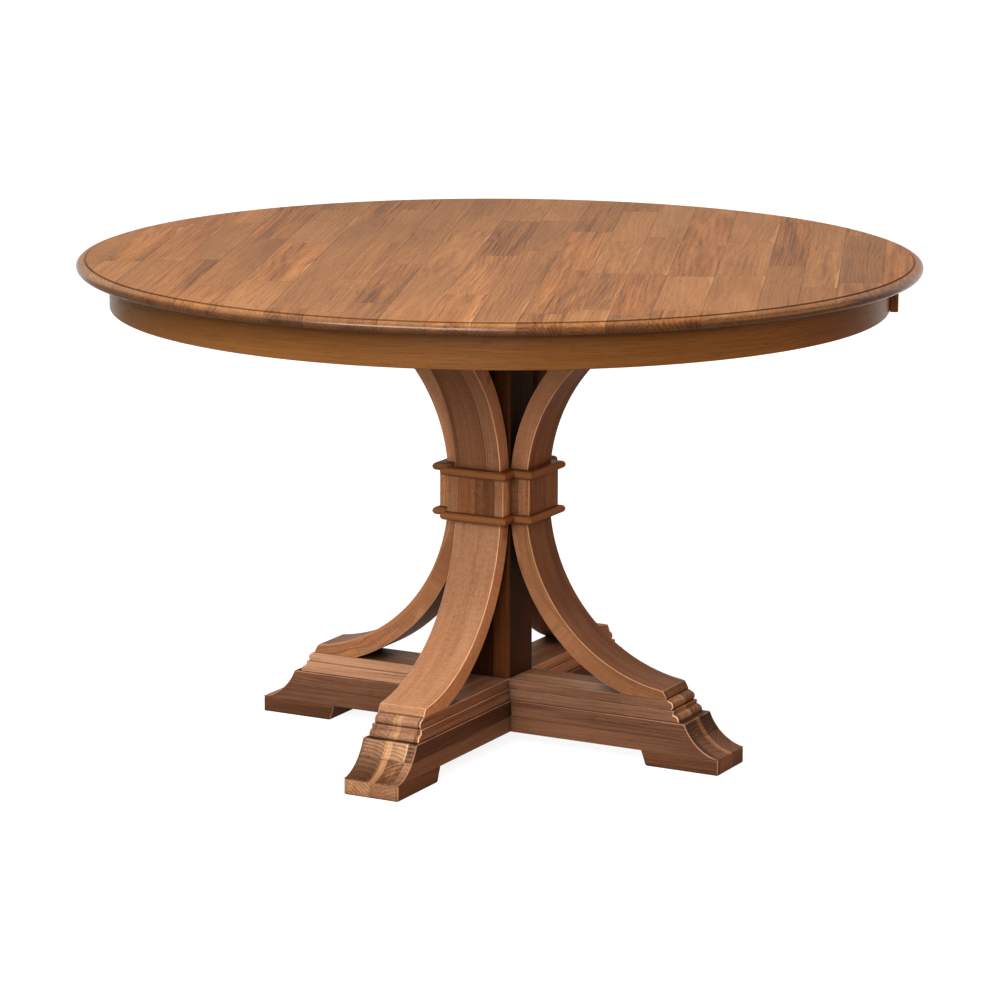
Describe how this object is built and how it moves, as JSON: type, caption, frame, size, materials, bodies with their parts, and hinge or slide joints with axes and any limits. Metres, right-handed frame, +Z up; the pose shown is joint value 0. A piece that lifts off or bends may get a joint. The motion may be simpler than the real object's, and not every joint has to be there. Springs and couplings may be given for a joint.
{
  "type": "pedestal table",
  "caption": "Round pedestal dining table with a glued-up wooden top, a bent apron, and a square post with curved braces and legs on crossed, moulded feet.",
  "frame": {"origin": "on the floor under the middle of the top: the centre of the underside of the table's bounding box", "axes": "+Z up; the four arms of the base point along +X (right), -X (left), -Y (front) and +Y (back)"},
  "size_m": [1.2898, 1.29, 0.762],
  "materials": {
    "top_wood": "satin lacquer",
    "apron_wood": "satin lacquer",
    "block_wood": "satin lacquer",
    "rail_wood": "satin lacquer",
    "post_wood": "satin lacquer",
    "brace_wood": "satin lacquer",
    "leg_wood": "satin lacquer",
    "collar_wood": "satin lacquer",
    "nosing_wood": "satin lacquer",
    "beam_wood": "satin lacquer",
    "cap_wood": "satin lacquer",
    "pad_wood": "satin lacquer",
    "dowel_wood": "satin lacquer",
    "zinc_steel": "zinc plated"
  },
  "bodies": {
    "root": {"tabletop": "top_wood", "apron_hoop": "apron_wood", "apron_cover_block": "block_wood", "apron_backing_block": "rail_wood", "apron_glue_blocks": "rail_wood", "apron_joint_screws": "zinc_steel", "rail_across": "rail_wood", "rail_along": "rail_wood", "top_screws": "zinc_steel", "post": "post_wood", "tie_rod": "zinc_steel", "tie_rod_nuts": "zinc_steel", "tie_rod_washers": "zinc_steel", "brace_front": "brace_wood", "brace_back": "brace_wood", "brace_right": "brace_wood", "brace_left": "brace_wood", "leg_front": "leg_wood", "leg_back": "leg_wood", "leg_right": "leg_wood", "leg_left": "leg_wood", "leg_dowels": "dowel_wood", "collar_board_front": "collar_wood", "collar_board_back": "collar_wood", "collar_board_right": "collar_wood", "collar_board_left": "collar_wood", "collar_corner_front_right": "collar_wood", "collar_corner_back_right": "collar_wood", "collar_corner_back_left": "collar_wood", "collar_corner_front_left": "collar_wood", "upper_nosing_fronts": "nosing_wood", "upper_nosing_returns": "nosing_wood", "lower_nosing_fronts": "nosing_wood", "lower_nosing_returns": "nosing_wood", "foot_beam_across": "beam_wood", "foot_beam_along": "beam_wood", "foot_cap_front": "cap_wood", "foot_cap_back": "cap_wood", "foot_cap_right": "cap_wood", "foot_cap_left": "cap_wood", "foot_pad_front": "pad_wood", "foot_pad_back": "pad_wood", "foot_pad_right": "pad_wood", "foot_pad_left": "pad_wood", "brace_screws": "zinc_steel", "leg_screws": "zinc_steel", "pad_screws": "zinc_steel"}
  },
  "joints": []
}
